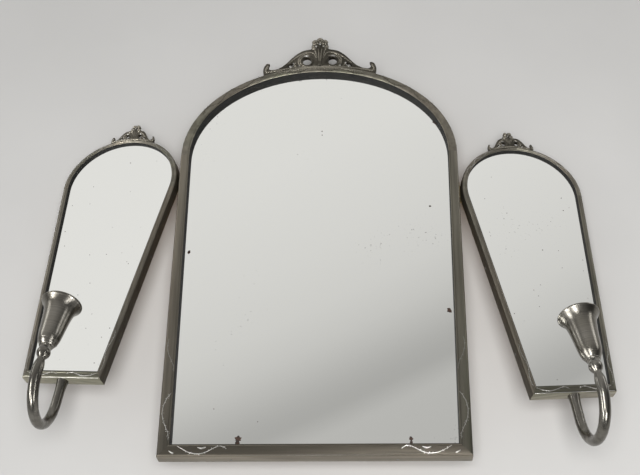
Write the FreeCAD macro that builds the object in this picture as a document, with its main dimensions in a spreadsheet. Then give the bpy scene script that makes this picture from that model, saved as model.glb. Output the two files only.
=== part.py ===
import FreeCAD, Part
import math
import os
from FreeCAD import Placement, Rotation, Vector

# Girandole mirror: an arched centre mirror with two tapered wing mirrors, each carrying a candle arm.
# Millimetres, +Z up, the viewer stands at -Y. The origin is on the wall plane, in the middle of the
# back edge of the centre's bottom rail.

doc = FreeCAD.newDocument("girandole_mirror")
sheet = doc.addObject("Spreadsheet::Sheet", "Sizes")

SIZES = [
    # centre frame
    ("half_width", 180.0), ("stile_height", 408.0), ("arch_rise", 140.0),
    ("frame_depth", 20.0), ("face_width", 14.5), ("arch_face", 13.0),
    ("frame_wall", 4.5), ("lip_depth", 9.0), ("glass_thick", 3.0), ("board_thick", 4.0),
    ("outer_round", 3.0), ("inner_round", 1.2), ("glass_play", 0.4),
    # crest of the centre
    ("crest_half", 77.0), ("crest_height", 50.0), ("crest_thick", 5.0), ("crest_setback", 2.5),
    ("crest_fullness", 0.0), ("crest_volute", 6.2), ("crest_volute_at", 17.5),
    ("crest_volute_lift", 11.0), ("crest_bead", 1.3), ("crest_lobe", 4.6), ("crest_ring", 7.6),
    # wing mirrors
    ("wing_foot_half", 50.5), ("wing_arch_half", 79.0), ("wing_arch_rise", 74.5),
    ("wing_spring_height", 288.5), ("wing_depth", 15.0), ("wing_face", 7.0),
    ("wing_foot_face", 10.0), ("wing_wall", 3.0), ("wing_lip", 4.0), ("wing_board", 8.0),
    ("wing_glass_foot", 7.5), ("wing_outer_round", 2.2), ("wing_inner_round", 0.8),
    ("wing_crest_half", 31.0), ("wing_crest_height", 26.0), ("wing_crest_thick", 3.5),
    ("wing_crest_setback", 1.5), ("wing_crest_fullness", 0.09), ("wing_crest_volute", 2.9),
    ("wing_crest_volute_at", 9.0), ("wing_crest_volute_lift", 6.0), ("wing_crest_bead", 0.7),
    ("wing_crest_lobe", 2.9), ("wing_crest_ring", 4.4),
    # how the wings stand against the centre
    ("wing_fold", 10.4), ("wing_tip", 6.8), ("wing_lean", 6.2), ("seam_gap", 1.6),
    ("seam_setback", 2.0), ("left_seam_height", 376.0), ("right_seam_height", 354.0),
    # hinges
    ("leaf_thick", 1.2), ("leaf_width", 11.0), ("knuckle_length", 8.0),
    ("barrel_radius", 2.2), ("pin_radius", 1.1), ("pin_head", 0.8), ("pin_play", 0.05),
    ("knuckle_play", 0.25), ("leaf_screw", 1.0), ("leaf_screw_bite", 2.2),
    # candle arms and cups
    ("arm_radius", 5.5), ("arm_neck_radius", 4.2), ("arm_bend_radius", 42.0), ("arm_lean", 7.0),
    ("arm_drop", 30.0), ("arm_leg", 18.0), ("arm_setback", 7.5), ("left_arm_turn", 9.7),
    ("right_arm_turn", 2.2), ("foot_radius", 7.2), ("foot_flare", 13.0), ("foot_rim", 0.8),
    ("stud_proud", 0.4), ("neck_length", 3.0), ("knop_radius", 8.0), ("cup_seat_height", 7.4),
    ("cup_height", 63.0), ("cup_rim_radius", 24.0), ("cup_body_radius", 13.6),
    ("cup_wall", 1.5), ("candle_radius", 11.5), ("candle_depth", 24.0), ("cup_floor", 7.0),
    ("screw_radius", 1.6), ("screw_head", 3.4), ("screw_head_height", 2.4), ("screw_bite", 4.0),
    ("nut_radius", 3.4), ("nut_height", 3.0),
    # nails and the hanging ring
    ("nail_radius", 0.8), ("nail_head", 1.6), ("nail_head_thick", 0.5), ("nail_bite", 5.0),
    ("hanger_height", 452.0), ("strap_width", 13.0), ("strap_length", 26.0), ("strap_thick", 1.0),
    ("strap_screw", 1.2), ("ring_radius", 9.0), ("ring_wire", 1.0), ("ring_barrel", 1.9),
]
for row, (alias, value) in enumerate(SIZES, 1):
    sheet.set("A%d" % row, alias)
    sheet.set("B%d" % row, str(value))
    sheet.setAlias("B%d" % row, alias)
doc.recompute()


def size(alias):
    return float(sheet.get(alias))


def bind(obj, prop, formula):
    """Ties a property to the sheet: words of the formula that are aliases become references."""
    words = sorted((alias for alias, value in SIZES), key=len, reverse=True)
    text = formula
    for number, alias in enumerate(words):
        text = text.replace(alias, "{%d}" % number)
    obj.setExpression(prop, text.format(*["Sizes." + alias for alias in words]))


# ---- small tools -----------------------------------------------------------------------------

def flat(x, z):
    return Vector(x, z, 0)


def polygon(points):
    ends = points[1:] + points[:1]
    return [Part.LineSegment(flat(*a), flat(*b)) for a, b in zip(points, ends)]


def open_line(points):
    return polygon(points)[:-1]


def ellipse_point(half, rise, centre_z, turn):
    return half * math.cos(turn), centre_z + rise * math.sin(turn)


def ellipse_arc(half, rise, centre_z, start, end):
    """An arc about (0, centre_z); the turn is counted from +X whichever axis is the longer."""
    centre = flat(0, centre_z)
    if half >= rise:
        curve = Part.Ellipse(flat(half, centre_z), flat(0, centre_z + rise), centre)
        return Part.ArcOfEllipse(curve, start, end)
    curve = Part.Ellipse(flat(0, centre_z + rise), flat(-half, centre_z), centre)
    return Part.ArcOfEllipse(curve, start - math.pi / 2, end - math.pi / 2)


def spline(points):
    curve = Part.BSplineCurve()
    curve.interpolate([flat(*p) for p in points])
    return curve


def new_body(label):
    body = doc.addObject("PartDesign::Body", label)
    body.Label = label
    return body


def new_sketch(body, name, curves, role="XZ_Plane", offset=None):
    sketch = body.newObject("Sketcher::SketchObject", name)
    plane = [item for item in body.Origin.OriginFeatures if item.Role == role][0]
    sketch.AttachmentSupport = [(plane, "")]
    sketch.MapMode = "FlatFace"
    if offset:
        bind(sketch, ".AttachmentOffset.Base.z", offset)
    sketch.addGeometry(curves, False)
    return sketch


def pad(body, name, curves, length, offset=None):
    """Extrudes an outline drawn in XZ towards the viewer, from offset behind."""
    sketch = new_sketch(body, name + "_outline", curves, offset=offset)
    feature = body.newObject("PartDesign::Pad", name)
    feature.Profile = sketch
    bind(feature, "Length", length)
    return feature


def revolve(body, name, curves):
    """Turns an outline of (radius, z) about the body's Z axis."""
    sketch = new_sketch(body, name + "_outline", curves)
    feature = body.newObject("PartDesign::Revolution", name)
    feature.Profile = sketch
    feature.ReferenceAxis = (sketch, ["V_Axis"])
    feature.Angle = 360.0
    return feature


def round_edges(body, name, feature, points, radius):
    doc.recompute()
    names = []
    for number, edge in enumerate(feature.Shape.Edges, 1):
        if any(edge.distToShape(Part.Vertex(p))[0] < 0.001 for p in points):
            names.append("Edge%d" % number)
    fillet = body.newObject("PartDesign::Fillet", name)
    fillet.Base = (feature, names)
    bind(fillet, "Radius", radius)
    doc.recompute()
    return fillet


def solids(label, shapes):
    feature = doc.addObject("Part::Feature", label)
    feature.Label = label
    feature.Shape = Part.makeCompound(shapes) if len(shapes) > 1 else shapes[0]
    return feature


def cut(label, base, tools):
    """The node named label: the base with holes for the fasteners whose shapes are given."""
    result = doc.addObject("Part::Cut", label)
    result.Label = label
    result.Base = base
    result.Tool = solids(label + "_holes", tools)
    return result


def fuse(label, parts):
    result = doc.addObject("Part::MultiFuse", label)
    result.Label = label
    result.Shapes = parts
    result.Refine = True
    return result


NODES = []


def node(obj, placement=None):
    """Registers a finished piece and sets it where it stands on the object."""
    if placement is not None:
        obj.Placement = placement
    NODES.append(obj)
    return obj


# ---- places shared by many pieces --------------------------------------------------------------

W = size("half_width")
H = size("stile_height")
origin_drop = Vector(0, 0, -size("frame_wall") / 2)
centre_place = Placement(origin_drop, Rotation())


def wing_rotation(side):
    """side is -1 for the left wing and +1 for the right one."""
    fold = Rotation(Vector(0, 0, 1), side * size("wing_fold"))
    tip = Rotation(Vector(1, 0, 0), -size("wing_tip"))
    lean = Rotation(Vector(0, 1, 0), -side * size("wing_lean"))
    return fold * tip * lean


def shoulder(side):
    """The point of a wing's back edge that comes nearest to the centre, in the wing's own frame."""
    across = wing_rotation(side).inverted().multVec(Vector(-side, 0, 0))
    half = size("wing_arch_half")
    rise = size("wing_arch_rise")
    reach = math.hypot(half * across.x, rise * across.z)
    return Vector(half ** 2 * across.x / reach, 0, size("wing_spring_height") + rise ** 2 * across.z / reach)


def seam_point(side):
    height = size("left_seam_height") if side < 0 else size("right_seam_height")
    return Vector(side * (W + size("seam_gap")), -size("seam_setback"), height) + origin_drop


def wing_placement(side):
    turn = wing_rotation(side)
    return Placement(seam_point(side) - turn.multVec(shoulder(side)), turn)


# ---- centre frame ------------------------------------------------------------------------------

def centre_rail_curves(part, inset, arch_inset, side=1):
    """Outline of one rail between the outer edge and a line inset from it."""
    if part == "bottom":
        return polygon([(-W, 0), (W, 0), (W - inset, inset), (-W + inset, inset)])
    if part == "stile":
        corners = [(W, 0), (W, H), (W - inset, H), (W - inset, inset)]
        return polygon([(side * x, z) for x, z in corners])
    rise = size("arch_rise")
    return [
        ellipse_arc(W, rise, H, 0, math.pi),
        Part.LineSegment(flat(-W, H), flat(inset - W, H)),
        ellipse_arc(W - inset, rise - arch_inset, H, 0, math.pi),
        Part.LineSegment(flat(W - inset, H), flat(W, H)),
    ]


def centre_rail(label, part, side=1):
    body = new_body(label + "_moulding")
    wall = size("frame_wall")
    pad(body, label + "_wall", centre_rail_curves(part, wall, wall, side), "frame_depth - lip_depth")
    lip = pad(body, label + "_lip",
              centre_rail_curves(part, size("face_width"), size("arch_face"), side),
              "lip_depth", "frame_depth - lip_depth")
    front = -size("frame_depth")
    if part == "bottom":
        outer, inner = Vector(0, front, 0), Vector(0, front, size("face_width"))
    elif part == "stile":
        outer = Vector(side * W, front, H / 2)
        inner = Vector(side * (W - size("face_width")), front, H / 2)
    else:
        outer = Vector(0, front, H + size("arch_rise"))
        inner = Vector(0, front, H + size("arch_rise") - size("arch_face"))
    rounded = round_edges(body, label + "_outer_round", lip, [outer], "outer_round")
    round_edges(body, label + "_inner_round", rounded, [inner], "inner_round")
    return body


def arched_curves(inset, foot_inset):
    half = W - inset
    rise = size("arch_rise") - inset
    return [ellipse_arc(half, rise, H, 0, math.pi)] + open_line(
        [(-half, H), (-half, foot_inset), (half, foot_inset), (half, H)])


def panel(label, curves, thickness, offset):
    body = new_body(label)
    pad(body, label + "_sheet", curves, thickness, offset)
    return body


def nail(at, inward, wall):
    """A pin with a flat head, driven from a frame's outer face at a point, along inward."""
    head_thick = size("nail_head_thick")
    shank = Part.makeCylinder(size("nail_radius"), wall + size("nail_bite"), at, inward)
    head = Part.makeCylinder(size("nail_head"), head_thick, at - inward * head_thick, inward)
    return shank.fuse(head).removeSplitter()


nail_level = -(size("frame_depth") - size("lip_depth") - size("glass_thick") - size("board_thick") / 2)


def centre_nail_shapes():
    found = []
    wall = size("frame_wall")
    for x in (-0.53 * W, 0.53 * W):
        found.append(nail(Vector(x, nail_level, 0), Vector(0, 0, 1), wall))
    for side in (-1, 1):
        for share in (0.3, 0.66):
            found.append(nail(Vector(side * W, nail_level, share * H), Vector(-side, 0, 0), wall))
        turn = math.radians(90 - side * 42)
        x, z = ellipse_point(W, size("arch_rise"), H, turn)
        inward = Vector(-math.cos(turn) / W, 0, -math.sin(turn) / size("arch_rise")).normalize()
        found.append(nail(Vector(x, nail_level, z), inward, wall))
    return found


centre_nails = centre_nail_shapes()
board_offset = "frame_depth - lip_depth - glass_thick - board_thick"
sheet_inset = size("frame_wall") + size("glass_play")
node(cut("center_bottom_rail", centre_rail("bottom", "bottom"), centre_nails), centre_place)
node(cut("center_arch_rail", centre_rail("arch", "arch"), centre_nails), centre_place)
glass = panel("center_glass", arched_curves(sheet_inset, sheet_inset), "glass_thick",
              "frame_depth - lip_depth - glass_thick")
node(glass, centre_place)
board = panel("center_board_blank", arched_curves(sheet_inset, sheet_inset), "board_thick", board_offset)


# ---- crests ------------------------------------------------------------------------------------

def crest(label, prefix, seat, petal_count, depth, setback):
    """A pierced scroll plate that sits on an arch, with a hook at each end and a flower on top.

    prefix picks the crest's own sizes, and seat is the arch's outer ellipse: half width, rise and
    the height of its centre. Points of the outline are shares of the crest's half width, and of its
    height above the arch."""
    half, height = size(prefix + "half"), size(prefix + "height")
    lobe, ring, bead = size(prefix + "lobe"), size(prefix + "ring"), size(prefix + "bead")
    volute, volute_at = size(prefix + "volute"), size(prefix + "volute_at")
    seat_half, seat_rise, seat_z = seat
    front = -(size(depth) - size(setback))

    def on_arch(x, lift=0.0):
        return x, ellipse_point(seat_half, seat_rise, seat_z, math.acos(x / seat_half))[1] + lift

    def above(across, up):
        """A point of the outline, moved outwards where the shoulder is full."""
        swell = size(prefix + "fullness") * math.sin(math.pi * min(1, across / 0.8))
        return on_arch(min(1, across + swell) * half, up * height)

    flower_z = seat_z + seat_rise + height - ring - lobe
    volute_z = on_arch(volute_at, size(prefix + "volute_lift"))[1]
    shoulder_line = [above(*share) for share in (
        (0.11, 0.70), (0.165, 0.62), (0.24, 0.60), (0.34, 0.56), (0.44, 0.46), (0.53, 0.33),
        (0.62, 0.20), (0.71, 0.13))]
    hook_line = [shoulder_line[-1]] + [on_arch(across * half, up * height) for across, up in (
        (0.82, 0.115), (0.89, 0.17), (0.905, 0.26), (0.885, 0.34))]
    back_line = [hook_line[-1]] + [on_arch(across * half, up * height) for across, up in (
        (0.935, 0.375), (0.985, 0.29), (1.0, 0.16), (0.985, 0.05))]
    foot = on_arch(0.95 * half)
    curves = [ellipse_arc(seat_half, seat_rise, seat_z, math.acos(foot[0] / seat_half),
                          math.pi - math.acos(foot[0] / seat_half))]
    for side in (-1, 1):
        for line in (shoulder_line, hook_line, back_line):
            curves.append(spline([(side * x, z) for x, z in line]))
        heel = back_line[-1]
        curves.append(Part.LineSegment(flat(side * heel[0], heel[1]), flat(side * foot[0], foot[1])))
        curves.append(Part.Circle(flat(side * volute_at, volute_z), Vector(0, 0, 1), volute))
        eye = on_arch(0.5 * half, 0.15 * height)
        turn = 0.5 * side
        long_axis = flat(math.cos(turn), -math.sin(turn)) * (0.085 * half)
        short_axis = flat(math.sin(turn), math.cos(turn)) * (0.045 * height)
        middle = flat(side * eye[0], eye[1])
        curves.append(Part.Ellipse(middle + long_axis, middle + short_axis, middle))
    neck_x, neck_z = shoulder_line[0]
    curves.append(Part.LineSegment(flat(-neck_x, neck_z), flat(neck_x, neck_z)))
    thick = prefix + "thick"
    body = new_body(label + "_plate")
    pad(body, label + "_scrolls", curves, thick, "%s - %s - %s" % (depth, setback, thick))
    pieces = [body]

    def primitive(kind, name, place, **formulas):
        piece = doc.addObject("Part::" + kind, label + "_" + name)
        for prop, formula in formulas.items():
            bind(piece, prop, formula)
        piece.Placement = place
        pieces.append(piece)
        return piece

    facing = Rotation(Vector(1, 0, 0), 90)
    discs = [("heart", 0, flower_z, prefix + "ring")]
    for number in range(petal_count):
        turn = math.radians(-20 + 220 * number / (petal_count - 1))
        x, z = ring * math.cos(turn), flower_z + ring * math.sin(turn)
        discs.append(("petal%d" % (number + 1), x, z, prefix + "lobe"))
    for name, x, z, radius in discs:
        back = Vector(x, front + size(thick), z)
        primitive("Cylinder", name, Placement(back, facing), Radius=radius, Height=thick)
    for number in range(petal_count + 1):
        name, x, z, radius = discs[number]
        wide = 0.8 * size(radius) if number else 0.42 * ring
        dome = (wide ** 2 + bead ** 2) / (2 * bead)
        cap = primitive("Sphere", name + "_dome", Placement(Vector(x, front + dome - bead, z), facing))
        cap.Radius = dome
        cap.Angle1 = math.degrees(math.asin((dome - bead) / dome))
        cap.Angle2 = 90
    for name, side in (("left", -1), ("right", 1)):
        scroll = Placement(Vector(side * volute_at, front, volute_z), facing)
        primitive("Torus", name + "_scroll", scroll, Radius1="%svolute + 1.25 * %sbead" % (prefix, prefix),
                  Radius2=prefix + "bead")
    for name, lean in (("left", -9), ("middle", 0), ("right", 9)):
        root = Vector(0.35 * bead * lean / 9, front, seat_z + seat_rise + 1.5 * bead)
        flute = primitive("Cone", name + "_flute", Placement(root, Rotation(Vector(0, 1, 0), lean)),
                          Radius1="0.7 * %sbead" % prefix, Radius2="1.1 * %sbead" % prefix)
        flute.Height = flower_z - root.z - 0.35 * ring
    return fuse(label, pieces)


node(crest("center_crest", "crest_", (W, size("arch_rise"), H), 5, "frame_depth", "crest_setback"),
     centre_place)


# ---- hanging ring on the centre's back ----------------------------------------------------------

board_back = -(size("frame_depth") - size("lip_depth") - size("glass_thick") - size("board_thick"))
barrel_y = board_back + size("ring_barrel")
ring_pivot = Vector(0, barrel_y, size("hanger_height"))


def hanger_shapes():
    """The strap with its rolled barrel, its two screws and the ring that swings in the barrel."""
    width, length = size("strap_width"), size("strap_length")
    thick, wire = size("strap_thick"), size("ring_wire")
    corner = Vector(-width / 2, board_back, size("hanger_height"))
    strap = Part.makeBox(width, thick, length, corner)
    barrel_end = ring_pivot - Vector(width / 2, 0, 0)
    barrel = Part.makeCylinder(size("ring_barrel"), width, barrel_end, Vector(1, 0, 0))
    bore = Part.makeCylinder(wire + size("pin_play"), width, barrel_end, Vector(1, 0, 0))
    strap = strap.fuse(barrel).cut(bore)
    screws = []
    back = Vector(0, 1, 0)
    bite = 0.8 * size("board_thick")
    for share in (0.45, 0.8):
        at = Vector(0, board_back - bite, size("hanger_height") + share * length)
        shank = Part.makeCylinder(size("strap_screw"), bite + thick, at, back)
        head = Part.makeCylinder(2 * size("strap_screw"), 0.75 * size("strap_screw"),
                                 at + back * (bite + thick), back)
        screws.append(shank.fuse(head).removeSplitter())
        strap = strap.cut(shank)
    radius = size("ring_radius")
    axle = Part.makeCylinder(wire, 2 * radius, ring_pivot - Vector(radius, 0, 0), Vector(1, 0, 0))
    drop = Vector(0, 0, -0.6 * radius)
    legs = [Part.makeCylinder(wire, 0.6 * radius, ring_pivot + Vector(side * radius, 0, 0) + drop)
            for side in (-1, 1)]
    balls = [Part.makeSphere(wire, ring_pivot + Vector(side * radius, 0, 0)) for side in (-1, 1)]
    bow = Part.makeTorus(radius, wire, ring_pivot + drop, Vector(0, 1, 0), 0, 360, 180)
    bow.rotate(ring_pivot + drop, Vector(0, 1, 0), 90)
    ring = axle.fuse(legs + balls + [bow]).removeSplitter()
    return strap, screws, ring


strap, hanger_screws, ring = hanger_shapes()
node(solids("hanger_strap", [strap]), centre_place)
node(solids("hanger_screws", hanger_screws), centre_place)
node(solids("hanger_ring", [ring]), centre_place)
node(cut("center_backboard", board, hanger_screws + centre_nails), centre_place)
node(solids("center_nails", centre_nails), centre_place)


# ---- wing frames ---------------------------------------------------------------------------------

def wing_side(inset):
    """The straight side of a wing, moved in by inset: its touch on the arch and its lean."""
    half, rise = size("wing_arch_half") - inset, size("wing_arch_rise") - inset
    spring = size("wing_spring_height")
    outer_half, outer_rise = size("wing_arch_half"), size("wing_arch_rise")
    turn, slope = 0.0, 0.0
    for step in range(12):
        x, z = ellipse_point(outer_half, outer_rise, spring, turn)
        slope = (x - size("wing_foot_half")) / z
        turn = -math.atan(slope * outer_rise / outer_half)
    turn = -math.atan(slope * rise / half)
    return half, rise, turn, ellipse_point(half, rise, spring, turn), slope


def side_x(inset, z):
    half, rise, turn, touch, slope = wing_side(inset)
    return touch[0] - slope * (touch[1] - z)


def wing_rail_curves(part, inset, foot_inset, side=1):
    outer = wing_side(0)
    inner = wing_side(inset)
    foot = size("wing_foot_half")
    foot_in = side_x(inset, foot_inset)
    if part == "bottom":
        return polygon([(-foot, 0), (foot, 0), (foot_in, foot_inset), (-foot_in, foot_inset)])
    if part == "side":
        corners = [(foot, 0), outer[3], inner[3], (foot_in, foot_inset)]
        return polygon([(side * x, z) for x, z in corners])
    spring = size("wing_spring_height")
    curves = []
    for half, rise, turn, touch, slope in (outer, inner):
        curves.append(ellipse_arc(half, rise, spring, turn, math.pi - turn))
    for mirror in (-1, 1):
        ends = [(mirror * touch[0], touch[1]) for touch in (outer[3], inner[3])]
        curves.append(Part.LineSegment(flat(*ends[0]), flat(*ends[1])))
    return curves


def wing_rail(label, part, side=1):
    body = new_body(label + "_moulding")
    wall, face = size("wing_wall"), size("wing_face")
    foot_face = size("wing_foot_face")
    pad(body, label + "_wall", wing_rail_curves(part, wall, wall, side), "wing_depth - wing_lip")
    lip = pad(body, label + "_lip", wing_rail_curves(part, face, foot_face, side), "wing_lip",
              "wing_depth - wing_lip")
    front = -size("wing_depth")
    middle = size("wing_spring_height") / 2
    top = size("wing_spring_height") + size("wing_arch_rise")
    if part == "bottom":
        outer, inner = Vector(0, front, 0), Vector(0, front, foot_face)
    elif part == "side":
        outer = Vector(side * side_x(0, middle), front, middle)
        inner = Vector(side * side_x(face, middle), front, middle)
    else:
        outer, inner = Vector(0, front, top), Vector(0, front, top - face)
    rounded = round_edges(body, label + "_outer_round", lip, [outer], "wing_outer_round")
    round_edges(body, label + "_inner_round", rounded, [inner], "wing_inner_round")
    return body


def wing_sheet_curves():
    """Outline shared by a wing's glass and its board."""
    inset, foot = size("wing_wall") + size("glass_play"), size("wing_glass_foot")
    half, rise, turn, touch, slope = wing_side(inset)
    foot_x = side_x(inset, foot)
    corners = [(-touch[0], touch[1]), (-foot_x, foot), (foot_x, foot), touch]
    arch = ellipse_arc(half, rise, size("wing_spring_height"), turn, math.pi - turn)
    return [arch] + open_line(corners)


wing_nail_level = -(size("wing_depth") - size("wing_lip") - size("glass_thick") - size("wing_board") / 2)


def wing_nail_shapes():
    """Nails through the side walls and the arch, driven square to each."""
    found = []
    wall, slope = size("wing_wall"), wing_side(0)[4]
    for side in (-1, 1):
        for share in (0.2, 0.62):
            z = share * size("wing_spring_height")
            inward = Vector(-side, 0, slope).normalize()
            found.append(nail(Vector(side * side_x(0, z), wing_nail_level, z), inward, wall))
        turn = math.radians(90 - side * 38)
        half, rise = size("wing_arch_half"), size("wing_arch_rise")
        x, z = ellipse_point(half, rise, size("wing_spring_height"), turn)
        inward = Vector(-math.cos(turn) / half, 0, -math.sin(turn) / rise).normalize()
        found.append(nail(Vector(x, wing_nail_level, z), inward, wall))
    return found


# ---- hinges --------------------------------------------------------------------------------------

def hinge_frame(side):
    """The pin's middle and direction, in the wing's own frame.

    The pin is parallel to the wing's back and to the centre's side. Its barrel touches the plane of
    the back and clears the side by the knuckle's play."""
    across = wing_rotation(side).inverted().multVec(Vector(-side, 0, 0))
    back = Vector(0, 1, 0)
    along = across.cross(back).normalize()
    along = along * (1 if along.z > 0 else -1)
    away = along.cross(back)
    behind = back * size("barrel_radius")
    clear = size("barrel_radius") + size("knuckle_play") - size("seam_gap")
    return shoulder(side) + behind - away * ((clear + behind.dot(across)) / away.dot(across)), along


def hinge_shapes(side):
    """One butt hinge in the wing's frame: the centre's leaf, the wing's leaf, the pin and the screws."""
    place = wing_placement(side)
    middle, along = hinge_frame(side)
    length, play = size("knuckle_length"), size("knuckle_play")
    barrel, bore = size("barrel_radius"), size("pin_radius") + size("pin_play")
    thick, width = size("leaf_thick"), size("leaf_width")

    def knuckle(start, stretch, radius):
        return Part.makeCylinder(radius, stretch, middle + along * start, along)

    start = -1.5 * length
    head = size("pin_head")
    pin = knuckle(start - head, 3 * length + 2 * head, size("pin_radius"))
    for end in (start - head - play, start + 3 * length + play):
        pin = pin.fuse(knuckle(end, head, 1.6 * size("pin_radius")))
    wing_knuckles = [(start, length - play), (start + 2 * length + play, length - play)]
    centre_knuckles = [(start + length, length)]

    def leaf(origin, along_leaf, normal, knuckles, others, screw_rows):
        """A flat plate from the barrel outwards, cut away round the other leaf's knuckles."""
        corners = [origin, origin + along_leaf * width]
        corners += [corner + along * (3 * length) for corner in reversed(corners)]
        plate = Part.Face(Part.makePolygon(corners + corners[:1])).extrude(normal * thick)
        for begin, stretch in others:
            plate = plate.cut(knuckle(begin - play, stretch + 2 * play, barrel + play))
        for begin, stretch in knuckles:
            plate = plate.fuse(knuckle(begin, stretch, barrel))
        plate = plate.cut(knuckle(start - 1, 3 * length + 2, bore)).removeSplitter()
        pins = []
        for row in screw_rows:
            at = origin + along_leaf * (width * 0.68) + along * row + normal * thick
            thread = size("leaf_screw")
            shank = Part.makeCylinder(thread, thick + size("leaf_screw_bite"), at, normal * -1)
            head = Part.makeCone(1.9 * thread, thread, 0.75 * thick, at, normal * -1)
            pins.append(shank.fuse(head).removeSplitter())
            plate = plate.cut(pins[-1])
        return plate, pins

    rows = (0.4 * length, 2.6 * length)
    outward = place.Rotation.inverted().multVec(Vector(side, 0, 0))
    forward = along.cross(outward)
    forward = forward * (-1 if forward.y > 0 else 1)
    wall = middle - outward * (size("seam_gap") + (middle - shoulder(side)).dot(outward))
    centre_leaf, centre_screws = leaf(wall + along * start, forward, outward,
                                      centre_knuckles, wing_knuckles, rows)
    back = Vector(0, 1, 0)
    wing_dir = along.cross(back)
    wing_dir = wing_dir * (1 if wing_dir.x * side > 0 else -1)
    face = middle - back * size("barrel_radius")
    wing_leaf, wing_screws = leaf(face + along * start, wing_dir, back,
                                  wing_knuckles, centre_knuckles, rows)
    return centre_leaf, centre_screws, wing_leaf, wing_screws, pin


# ---- candle arm, cup and their fasteners ------------------------------------------------------------

def arm_placement(side):
    """The arm's own frame: its stud stands on the foot rail, and the arm is turned a little inwards."""
    turn = size("left_arm_turn") if side < 0 else size("right_arm_turn")
    stud_foot = Vector(0, -size("arm_setback"), 0)
    return wing_placement(side) * Placement(stud_foot, Rotation(Vector(0, 0, 1), -side * turn))


def raised_end():
    """The middle of the knop in the arm's own frame, with Z along the leg that leans back to the wall."""
    bend, lean = size("arm_bend_radius"), math.radians(size("arm_lean"))
    leg_foot = Vector(0, -bend * (1 + math.cos(lean)), bend * math.sin(lean) - size("arm_drop"))
    leg = Placement(Vector(0, 0, size("arm_leg")), Rotation())
    return Placement(leg_foot, Rotation(Vector(1, 0, 0), -size("arm_lean"))) * leg


def candle_arm(label):
    """A round bar that drops from the foot rail, bends round and rises to a knop."""
    bend = doc.addObject("Part::Torus", label + "_bend")
    bind(bend, "Radius1", "arm_bend_radius")
    bind(bend, "Radius2", "arm_radius")
    bind(bend, "Angle3", "180 + arm_lean")
    centre = Vector(0, -size("arm_bend_radius"), -size("arm_drop"))
    upright = Rotation(Vector(0, 0, 1), -90) * Rotation(Vector(1, 0, 0), -90)
    bend.Placement = Placement(centre, upright * Rotation(Vector(0, 0, 1), -size("arm_lean")))
    radius, drop = size("arm_radius"), size("arm_drop")
    root = new_body(label + "_root")
    wide, flare, rim = size("foot_radius"), size("foot_flare"), size("foot_rim")
    swelling = spline([(radius, -flare), (0.83 * radius + 0.17 * wide, -0.45 * flare), (wide, -rim)])
    stud = size("screw_radius")
    stud_top = size("wing_wall") + size("nut_height") + size("stud_proud")
    revolve(root, label + "_foot", [swelling] + open_line([
        (wide, -rim), (wide, 0), (stud, 0), (stud, stud_top), (0, stud_top), (0, -drop), (radius, -drop),
        (radius, -flare)]))
    foot = size("arm_leg")
    knop, neck = size("knop_radius"), size("arm_neck_radius")
    seat, bite = size("cup_seat_height"), size("screw_bite")
    low = -math.sqrt(knop ** 2 - neck ** 2)
    high = math.sqrt(knop ** 2 - neck ** 2)
    ball = Part.Arc(flat(neck, low), flat(knop, 0), flat(neck, high))
    leg = new_body(label + "_leg")
    taper_end = low - size("neck_length")
    taper = spline([(radius, -foot), (0.8 * radius + 0.2 * neck, -0.85 * foot), (neck, taper_end)])
    revolve(leg, label + "_knop", [taper, ball] + [
        Part.LineSegment(flat(neck, taper_end), flat(neck, low)),
    ] + open_line([
        (neck, high), (neck, seat), (stud, seat), (stud, -bite), (0, -bite), (0, -foot), (radius, -foot)]))
    leg.Placement = raised_end()
    return fuse(label, [bend, root, leg])


def candle_cup(label):
    """A turned bell with a flared rim and a straight socket for the candle."""
    height, rim, belly = size("cup_height"), size("cup_rim_radius"), size("cup_body_radius")
    wall, socket = size("cup_wall"), size("candle_radius")
    floor, depth = size("cup_floor"), size("candle_depth")
    hole = size("screw_radius") + size("pin_play")
    head, sink = size("screw_head_height"), size("screw_head") + size("knuckle_play")
    neck = size("arm_neck_radius")
    outer_line = [(neck + 0.6, 0), (0.66 * belly, 1.6), (0.95 * belly, 7.5), (1.02 * belly, 0.3 * height),
                  (1.17 * belly, 0.62 * height), (0.80 * rim, 0.86 * height), (rim, height - wall)]
    inner_line = [(rim - wall, height), (0.80 * rim - wall, 0.87 * height),
                  (1.17 * belly - wall, 0.64 * height), (socket, floor + depth)]
    body = new_body(label)
    revolve(body, label + "_bell", [
        spline(outer_line),
        Part.LineSegment(flat(rim, height - wall), flat(rim - wall, height)),
        spline(inner_line)] + open_line([
            (socket, floor + depth), (socket, floor), (sink, floor), (sink, floor - head),
            (hole, floor - head), (hole, 0), (neck + 0.6, 0)]))
    return body


def cup_screw_shape():
    """The slotted screw sunk in the cup's floor, drawn from the axis of the arm's raised end."""
    wide, tall, play = size("screw_head"), size("screw_head_height"), size("pin_play")
    under_head = size("cup_seat_height") + size("cup_floor") - tall + play
    shank = Part.makeCylinder(size("screw_radius"), under_head + size("screw_bite"),
                              Vector(0, 0, -size("screw_bite")))
    head = Part.makeCylinder(wide, tall - 2 * play, Vector(0, 0, under_head))
    slot = Part.makeBox(2 * wide, 0.3 * wide, tall, Vector(-wide, -0.15 * wide, under_head + 0.55 * tall))
    return shank.fuse(head).cut(slot).removeSplitter()


def foot_nut_shape():
    """The hexagonal nut that draws the arm's stud up against the foot rail."""
    radius, height = size("nut_radius"), size("nut_height")
    middle = Vector(0, -size("arm_setback"), size("wing_wall"))
    corners = [middle + Vector(radius * math.cos(turn), radius * math.sin(turn), 0)
               for turn in (k * math.pi / 3 for k in range(7))]
    nut = Part.Face(Part.makePolygon(corners)).extrude(Vector(0, 0, height))
    return nut.cut(Part.makeCylinder(size("screw_radius"), height, middle))


# ---- both wings ----------------------------------------------------------------------------------------

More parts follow.
